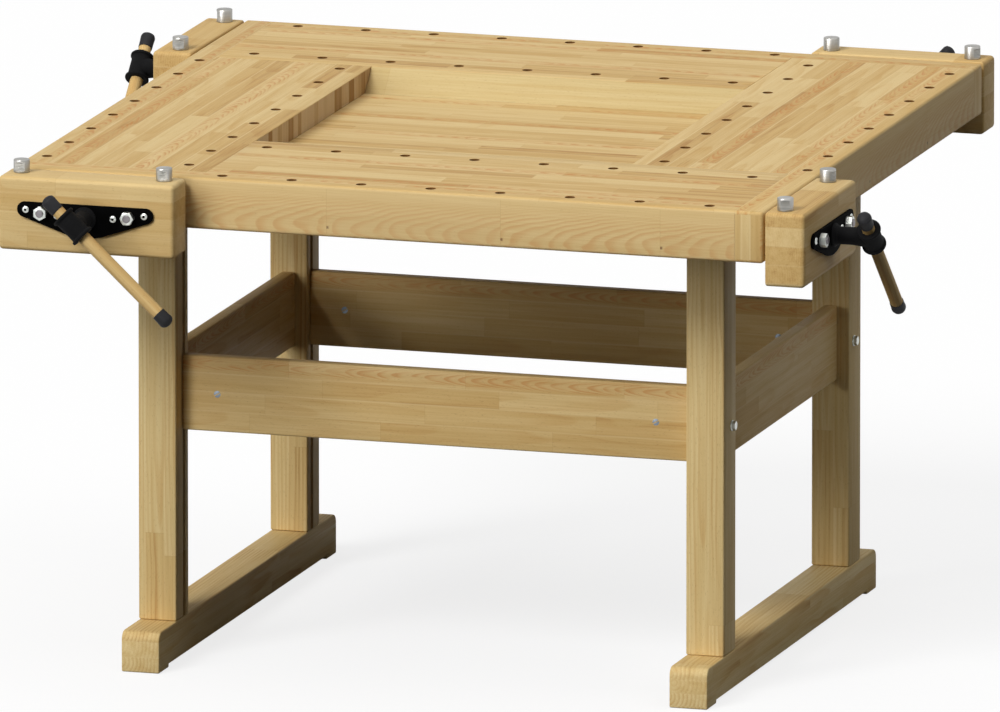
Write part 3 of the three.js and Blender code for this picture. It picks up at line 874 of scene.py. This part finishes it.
def makePlate():
    low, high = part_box("screw_plate_front")
    lobe, apex = plateShape["lobeRadius"], plateShape["apexRadius"]
    middles = [(low.x + lobe, high.z - lobe), (high.x - lobe, high.z - lobe)]
    for step in range(-plateShape["apexSteps"], plateShape["apexSteps"] + 1):
        angle = math.radians(plateShape["apexSpread"]) * step / plateShape["apexSteps"]
        swing = apex - lobe
        middles.append((jawMiddle + swing * math.sin(angle), low.z + apex - swing * math.cos(angle)))
    rounds = []
    for x, z in middles:
        disc = addRod("plate_disc", lobe, 0, high.y - low.y, 96)
        rounds.append(laid(disc, yWay, (x, low.y, z)))
    plate = joinPieces("screw_plate", rounds)
    editAll()
    bpy.ops.mesh.convex_hull()
    bpy.ops.mesh.select_all(action="SELECT")
    bpy.ops.mesh.dissolve_limited(angle_limit=math.radians(plateShape["flatAngle"]))
    closeShape()
    softenEdges(plate, plateShape["edge"])
    return plate


def makeWoodScrew():
    radius, height = screwShape["headRadius"], screwShape["headHeight"]
    shank, steps = screwShape["shankRadius"], screwShape["domeSteps"]
    arc = [step * math.pi / 2 / steps for step in range(steps)]
    rings = [(radius * math.cos(angle), height * math.sin(angle)) for angle in arc]
    screw = addTurned("wood_screw", [(shank, -screwShape["shankLength"]), (shank, 0), *rings], 32)
    corner, floor = hexCorner(screwShape["socketFlats"]), screwShape["socketFloor"]
    cutAway(screw, addRod("socket_cutter", corner, floor, 2 * height, 6))
    # The socket's walls and floor take finish 1, the painted shade.
    paintFaces(screw, 1, lambda at, normal: at.z > floor - nearly and math.hypot(at.x, at.y) < corner
               and (normal.z < 1 - facing or at.z < floor + nearly))
    return screw


def makeRodNut():
    nut = hexHead("rod_nut", nutShape["flats"], nutShape["height"])
    radius, top = nutShape["studRadius"], nutShape["height"] + nutShape["studEnd"]
    stud = addTurned("stud_end", [
        (radius, 0), (radius, top - nutShape["tipRun"]), (radius - nutShape["tipInset"], top)], 32)
    for piece, finish in ((nut, zinc), (stud, studSteel)):
        piece.data.materials.append(finish)
    return joinPieces("rod_nut", [nut, stud])


def makeRods():
    front, back = jawHigh.y + fitGap, rodHigh.y
    radius, chamfer = rodShape["radius"], rodShape["chamfer"]
    thick, half = rodShape["tieThickness"], rodShape["tieHeight"] / 2
    length = back - front - thick + rodShape["tieOverlap"]
    tie = addBox("guide_rods", (rodLow.x, back - thick, rodHeight - half),
                 (rodHigh.x, back, rodHeight + half))
    softenEdges(tie, rodShape["tieEdge"])
    rods = []
    for x in rodPlaces:
        rod = addTurned("rod", [(radius - chamfer, 0), (radius, chamfer), (radius, length)], 48)
        rods.append(laid(rod, yWay, (x, front, rodHeight)))
    return joinPieces("guide_rods", [tie, *rods])


# root, flank and crest are shares of the pitch, tailOverlap is in turns
screwThread = {
    "rootRadius": 0.0091, "crestRadius": 0.011, "pitch": 0.006, "facets": 32, "root": 0.2, "flank": 0.2,
    "crest": 0.4, "retainerRadius": 0.016, "retainerThickness": 0.006, "retainerEdge": 0.001, "neck": 0.004,
    "neckStep": 0.002, "tailGap": 0.002, "tailOverlap": 0.6, "tailProud": 0.0003, "tailInset": 0.0015,
}


# The thread's outline is drawn from a plane merged to a point, and wound up. Its ring and tail are turned.
def makeThread():
    root, crest, pitch = screwThread["rootRadius"], screwThread["crestRadius"], screwThread["pitch"]
    seat = jawHigh.y - jawShape["recessDepth"]
    thickness, flange = screwThread["retainerThickness"], screwThread["retainerRadius"]
    start = seat + thickness + screwThread["neck"]
    end = rodHigh.y - rodShape["tieThickness"] - screwThread["tailGap"]
    turns = int((end - start) / pitch) - 1
    clearSelection()
    bpy.ops.mesh.primitive_plane_add(size=pitch, location=(root, 0, 0))
    thread = bpy.context.object
    applyPlace(thread)
    editAll("VERT")
    bpy.ops.mesh.merge(type="CENTER")
    height, flank = crest - root, screwThread["flank"]
    valley, ridge = screwThread["root"], screwThread["crest"]
    for outwards, rise in ((0, valley), (height, flank), (0, ridge), (-height, flank)):
        bpy.ops.mesh.extrude_region_move(TRANSFORM_OT_translate={"value": (outwards, 0, rise * pitch)})
    setMode("OBJECT")
    applyModifier(thread, "SCREW", angle=2 * math.pi, screw_offset=pitch, iterations=turns, axis="Z",
                  steps=screwThread["facets"], render_steps=screwThread["facets"], use_merge_vertices=True,
                  merge_threshold=mergeDistance)
    editAll()
    bpy.ops.mesh.remove_doubles(threshold=mergeDistance)
    bpy.ops.mesh.fill_holes(sides=0)
    closeShape()
    onSpindle(thread, start)
    face, edge, step = seat + fitGap, screwThread["retainerEdge"], screwThread["neckStep"]
    neckEnd = thickness + screwThread["neck"]
    collar = addTurned("retainer", [
        (crest, plateFace - face), (crest, 0), (flange - edge, 0), (flange, edge),
        (flange, thickness - edge), (flange - edge, thickness), (crest, thickness), (crest, neckEnd + step),
        (root, neckEnd + 2 * step)], 40)
    onSpindle(collar, face)
    length = end - start - (turns - screwThread["tailOverlap"]) * pitch
    outer, tip = root + screwThread["tailProud"], root - screwThread["tailInset"]
    tail = addTurned("tail", [(outer, 0), (outer, length - step), (tip, length)], 32)
    onSpindle(tail, end - length)
    return joinPieces("vise_screw", [thread, collar, tail])


# tilt in degrees below the level
barShape = {
    "tilt": 43, "radius": 0.01, "upperReach": 0.061, "lowerReach": 0.212, "chamfer": 0.001,
    "capRadius": 0.0115, "capEnd": 0.004, "upperCap": 0.028, "lowerCap": 0.025, "capLip": 0.0008,
    "capFit": 0.0002, "capDome": 0.0085, "domeSteps": 9,
}
hubShape = {
    "reach": 0.06, "collarRadius": 0.0185, "collarThickness": 0.006, "shoulder": 0.003,
    "neckRadius": 0.0138, "neckSpread": 0.002, "barrelRadius": 0.016, "barrelLength": 0.046,
    "rimRadius": 0.019, "rimThickness": 0.005, "rimEdge": 0.001, "eyeRadius": 0.0103,
    "voxel": 0.0007, "smoothing": 3,
}
tilt = math.radians(barShape["tilt"])
barAxis = Vector((math.cos(tilt), 0, -math.sin(tilt)))
hubMiddle = Vector((jawMiddle, plateFace - hubShape["reach"], spindleHeight))


def makeHub():
    collar, neck = hubShape["collarRadius"], hubShape["neckRadius"]
    thick, reach = hubShape["collarThickness"], hubShape["reach"]
    shoulder, spread = hubShape["shoulder"], hubShape["neckSpread"]
    boss = addTurned("vise_hub", [
        (collar, fitGap), (collar, thick * 0.55), (collar - shoulder * 0.4, thick * 0.75),
        (collar - shoulder, thick * 0.8), (collar - shoulder * 1.2, thick * 1.3), (neck, thick * 1.6),
        (neck, reach * 0.55), (neck + spread * 0.8, reach * 0.75), (neck + spread, reach)], 56)
    laid(boss, outward, (jawMiddle, plateFace, spindleHeight))
    half, rim, barrel = hubShape["barrelLength"] / 2, hubShape["rimRadius"], hubShape["barrelRadius"]
    lip, edge = hubShape["rimThickness"], hubShape["rimEdge"]
    inner = half - lip
    halfRings = [
        (barrel, 0), (barrel, inner - edge), (barrel + edge * 0.6, inner),
        (rim - edge * 0.5, inner + edge * 0.3), (rim, half - lip * 0.7),
        (rim, half - lip * 0.3), (rim - edge, half)]
    rings = [(radius, -height) for radius, height in reversed(halfRings[1:])] + halfRings
    sleeve = laid(addTurned("sleeve", rings, 56), barAxis, hubMiddle)
    combine(boss, sleeve, "UNION")
    eye = addRod("eye_cutter", hubShape["eyeRadius"], -half - lip, half + lip, 48)
    cutAway(boss, laid(eye, barAxis, hubMiddle))
    applyModifier(boss, "REMESH", mode="VOXEL", voxel_size=hubShape["voxel"])
    applyModifier(boss, "SMOOTH", factor=0.5, iterations=hubShape["smoothing"])
    return boss


def barPoint(distance):
    return hubMiddle + barAxis * distance


def makeBar():
    upper = -barShape["upperReach"] + barShape["capEnd"] + fitGap
    lower = barShape["lowerReach"] - barShape["capEnd"] - fitGap
    radius, edge, length = barShape["radius"], barShape["chamfer"], lower - upper
    bar = addTurned("handle_bar", [
        (radius - edge, 0), (radius, edge), (radius, length - edge), (radius - edge, length)], 48)
    return laid(bar, barAxis, barPoint(upper))


# Cup over a bar end, with its open end first.
def makeCap(name, length, direction, start):
    inner, outer, lip = barShape["radius"] + barShape["capFit"], barShape["capRadius"], barShape["capLip"]
    dome, steps = barShape["capDome"], barShape["domeSteps"]
    angles = [step * math.pi / 2 / steps for step in range(1, steps)]
    arc = [(outer * math.cos(angle), length - dome + dome * math.sin(angle)) for angle in angles]
    cap = addTurned(name, [
        (inner, length - barShape["capEnd"]), (inner, 0), (outer - lip * 1.4, 0),
        (outer - lip * 0.9, lip * 0.4), (outer - lip * 0.7, lip * 2), (outer - lip * 0.6, length * 0.4),
        (outer, length - dome), *arc], 48)
    return laid(cap, direction, start)


dogShape = {
    "headRadius": 0.0125, "headHeight": 0.02, "shankRadius": 0.0077, "shankLength": 0.09, "tip": 0.0015,
    "rim": 0.0011, "underInset": 0.0004, "underRise": 0.0005, "flatDepth": 0.0025, "flatHeight": 0.0145,
    "grooves": 6, "grooveGap": 0.0021, "grooveRadius": 0.0008,
}
# of the outer and the inner dog, in degrees from outward
dogTurns = {"front": (0, 0), "right": (-75, -23), "back": (-113, 0), "left": (0, 96)}


# Dog on the Z axis, its flat towards -Y.
def makeDog():
    seat = topHeight + fitGap
    top = seat + dogShape["headHeight"]
    radius, rim, shank = dogShape["headRadius"], dogShape["rim"], dogShape["shankRadius"]
    bottom, tip = topHeight - dogShape["shankLength"], dogShape["tip"]
    dog = addTurned("bench_dog", [
        (shank - tip, bottom), (shank, bottom + tip), (shank, seat),
        (radius - dogShape["underInset"], seat), (radius, seat + dogShape["underRise"]),
        (radius, top - rim), (radius - rim * 0.35, top - rim * 0.35), (radius - rim, top)], 64)
    middle, half = seat + dogShape["headHeight"] * 0.5, dogShape["flatHeight"] / 2
    face, wide = -radius + dogShape["flatDepth"], 2 * radius
    cutAway(dog, addBox("flat_cutter", (-wide, -wide, middle - half), (wide, face, middle + half)))
    deep = dogShape["grooveRadius"]
    groove = addRod("groove_cutter", deep, -wide, wide, 4)
    count, gap = dogShape["grooves"], dogShape["grooveGap"]
    laid(groove, xWay, (0, face, middle - gap * (count - 1) / 2))
    applyModifier(groove, "ARRAY", count=count, use_relative_offset=False, use_constant_offset=True,
                  constant_offset_displace=(0, 0, gap))
    cutAway(dog, groove)
    return dog


fixedNut = {
    "flangeThickness": 0.008, "cornerRadius": 0.006, "cornerSteps": 5, "edge": 0.0008, "bodyRadius": 0.019,
    "bodyStart": 0.002, "bodyChamfer": 0.0015, "boreRadius": 0.0113, "screwReach": 0.034, "screwTurn": 0.4,
}


def makeFixedNut():
    low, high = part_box("spindle_nut_front")
    flange = addBox("spindle_nut", low, (high.x, low.y + fixedNut["flangeThickness"], high.z))
    halfWide, halfHigh = (high.x - low.x) / 2, (high.z - low.z) / 2
    atCorner = lambda at: (
        same(abs(at.x - jawMiddle), halfWide) and same(abs(at.z - spindleHeight), halfHigh))
    bevelEdges(flange, fixedNut["cornerRadius"], fixedNut["cornerSteps"], atCorner)
    softenEdges(flange, fixedNut["edge"])
    radius, chamfer, length = fixedNut["bodyRadius"], fixedNut["bodyChamfer"], high.y - low.y
    body = addTurned("nut_body", [
        (radius, fixedNut["bodyStart"]), (radius, length - chamfer), (radius - chamfer, length)], 48)
    combine(flange, onSpindle(body, low.y), "UNION")
    bore = addRod("bore_cutter", fixedNut["boreRadius"], -overrun, length + overrun)
    cutAway(flange, onSpindle(bore, low.y))
    return flange


jaw, plate, screw, rodNut = makeJaw(), makePlate(), makeWoodScrew(), makeRodNut()
rods, viseScrew, hub, bar = makeRods(), makeThread(), makeHub(), makeBar()
upperStart = barPoint(barShape["upperCap"] - barShape["upperReach"])
upperCap = makeCap("upper_cap", barShape["upperCap"], -barAxis, upperStart)
lowerStart = barPoint(barShape["lowerReach"] - barShape["lowerCap"])
lowerCap = makeCap("lower_cap", barShape["lowerCap"], barAxis, lowerStart)
dog, spindleNut = makeDog(), makeFixedNut()
print("vise pieces modelled")


def fitVise(index, side):
    move, turn, label = viseTurn(index), sideTurn(index), "_" + side
    jawBody, spindleBody, barBody = "vise_jaw_" + side, "vise_spindle_" + side, "vise_handle_" + side
    middle = middleOf("jaw_" + side)
    jawFinish = beechFinish("jaw", label, index, runWays[index], zWay, jawLow.z, middle)
    fitCopy(jaw, "jaw_block_" + side, move, [jawFinish, holeWallShade], jawBody, "beech", "jaw_" + side)
    fitCopy(plate, "kite_plate_" + side, move, [blackPaint], jawBody, "black_steel", "screw_plate_" + side)
    for number, (across, drop) in enumerate(screwPlaces, 1):
        seat = (jawMiddle + across, plateFace, topHeight - drop)
        place = move @ layAlong(outward, seat, screwShape["turn"] * number)
        fitCopy(screw, f"plate_screw_{side}_{number}", place, [zinc, socketShadeBlack], jawBody, "steel")
    for number, (x, degrees) in enumerate(zip(rodPlaces, nutShape["turns"]), 1):
        place = move @ layAlong(outward, (x, plateFace - fitGap, rodHeight), math.radians(degrees))
        fitCopy(rodNut, f"rod_nut_{side}_{number}", place, [], jawBody, "steel")
    fitCopy(rods, "slide_rods_" + side, move, [rodSteel], jawBody, "steel", "guide_rods_" + side)
    fitCopy(viseScrew, "vise_screw_" + side, move, [rodSteel], spindleBody, "steel", "spindle_" + side)
    fitCopy(hub, "vise_hub_" + side, move, [blackCasting], spindleBody, "cast_iron", "spindle_" + side)
    axis, crosswise, middle = turn @ barAxis, turn @ Vector(yWay), move @ hubMiddle
    start = middle.dot(crosswise) - barGrain["staveWidth"] / 2
    barFinish = beechFinish("bar", label, index, axis, crosswise, start, middle)
    lift = (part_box("upper_cap_" + side)[1].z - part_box("upper_cap_front")[1].z) / math.sin(tilt)
    barMove = move @ Matrix.Translation(barAxis * -lift)      # the bar is pushed up through its hub
    fitCopy(bar, "tommy_bar_" + side, barMove, [barFinish], barBody, "bar_wood", "handle_bar_" + side)
    for cap in (upperCap, lowerCap):
        name = cap.name + "_" + side
        fitCopy(cap, "rubber_" + name, barMove, [rubberCap], barBody, "rubber", name)
    for place, x, degrees in zip(("outer", "inner"), dogStations, dogTurns[side]):
        spin = Matrix.Rotation(math.radians(degrees), 4, "Z")
        stand = move @ Matrix.Translation((x, jawHigh.y - jawShape["dogSetback"], 0)) @ spin
        name = f"{place}_dog_{side}"
        fitCopy(dog, "round_" + name, stand, [dogSteel], f"dog_{place}_{side}", "steel", name)
    name = "spindle_nut_" + side
    fitCopy(spindleNut, "fixed_nut_" + side, turn, [blackCasting], "bench", "cast_iron", name)
    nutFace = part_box("spindle_nut_front")[0].y + fixedNut["flangeThickness"]
    for number, across in enumerate((-1, 1), 1):
        seat = (jawMiddle + across * fixedNut["screwReach"], nutFace, spindleHeight)
        place = turn @ layAlong(-outward, seat, fixedNut["screwTurn"])
        fitCopy(screw, f"nut_screw_{side}_{number}", place, [zinc, socketShadeBlack], "bench", "steel")


for index, side in enumerate(sideNames):
    fitVise(index, side)
for pattern in (jaw, plate, screw, rodNut, rods, viseScrew, hub, bar, upperCap, lowerCap, dog, spindleNut):
    bpy.data.objects.remove(pattern)
print("vises fitted")

# Floor, light and camera

studio = {
    "floorSize": 300, "floorDrop": 0.0005, "floorTint": "ffffff", "floorRoughness": 0.9,
    "bounceTint": "2c2c2b", "shadowFade": 0.8, "skyForDiffuse": 0.08, "skyForGloss": 0.75, "lens": 1200,
    "clipReach": 3, "sensor": 36, "frameWidth": 1.547, "aim": (-0.0017, 0, 0.433), "azimuth": 16.98,
    "elevation": 11.9,
}
# direction it comes from, strength, angle of its disc in degrees
sunLights = {
    "key": ((-0.27, -0.70, 0.60), 2.1, 24), "low": ((-0.52, -0.82, 0.22), 0.92, 24),
    "overhead": ((0, 0, 1), 0.95, 70), "side": ((0.6, -0.1, 0.79), 0.42, 40),
}


def makeFloor():
    bpy.ops.mesh.primitive_plane_add(size=studio["floorSize"], location=(0, 0, -studio["floorDrop"]))
    floor = bpy.context.object
    floor.name = "studio_floor"
    finish, shader, place = startFinish("pale_floor", specular=0)
    bounced = place.node("LightPath", {}, {}, "Is Diffuse Ray")      # keeps the floor's bounce low
    bounced.mix(colour(studio["floorTint"]), colour(studio["bounceTint"])).into(shader, "Base Color")
    shader.inputs["Roughness"].default_value = studio["floorRoughness"]
    faded = bounced.sibling("Is Camera Ray") * studio["shadowFade"]
    lit = Wire(finish.node_tree, shader.outputs["BSDF"])
    surfaces = {0: faded, 1: lit, 2: place.node("Emission", {}, {})}
    faded.node("MixShader", {}, surfaces).into(finish.node_tree.nodes["Material Output"], "Surface")
    floor.data.materials.append(finish)


def makeStudio():
    scene = bpy.context.scene
    world = bpy.data.worlds.new("studio")
    world.use_nodes = True
    scene.world = world
    sky = world.node_tree.nodes["Background"]
    sky.inputs["Color"].default_value = (1, 1, 1, 1)
    seen = Wire(world.node_tree, world.node_tree.nodes.new("ShaderNodeLightPath").outputs["Is Camera Ray"])
    glossy = seen.sibling("Is Glossy Ray")
    base = studio["skyForDiffuse"]
    (seen * (1 - base) + glossy * (studio["skyForGloss"] - base) + base).into(sky, "Strength")
    for name, (comesFrom, strength, disc) in sunLights.items():
        bpy.ops.object.light_add(type="SUN")
        sun = bpy.context.object
        sun.name = name
        sun.data.energy = strength
        sun.data.angle = math.radians(disc)
        sun.rotation_euler = Vector(comesFrom).to_track_quat("Z", "Y").to_euler()
    bpy.ops.object.camera_add()
    camera = bpy.context.object
    camera.data.sensor_width = studio["sensor"]
    camera.data.lens = studio["lens"]
    azimuth, elevation = math.radians(studio["azimuth"]), math.radians(studio["elevation"])
    level = math.cos(elevation)
    away = Vector((math.sin(azimuth) * level, -math.cos(azimuth) * level, math.sin(elevation)))
    distance = studio["frameWidth"] * studio["lens"] / studio["sensor"]
    camera.location = Vector(studio["aim"]) + away * distance
    camera.rotation_euler = away.to_track_quat("Z", "Y").to_euler()
    camera.data.clip_end = studio["clipReach"] * distance
    scene.camera = camera
    scene.view_settings.view_transform = "Standard"


makeFloor()
makeStudio()
print("studio made")
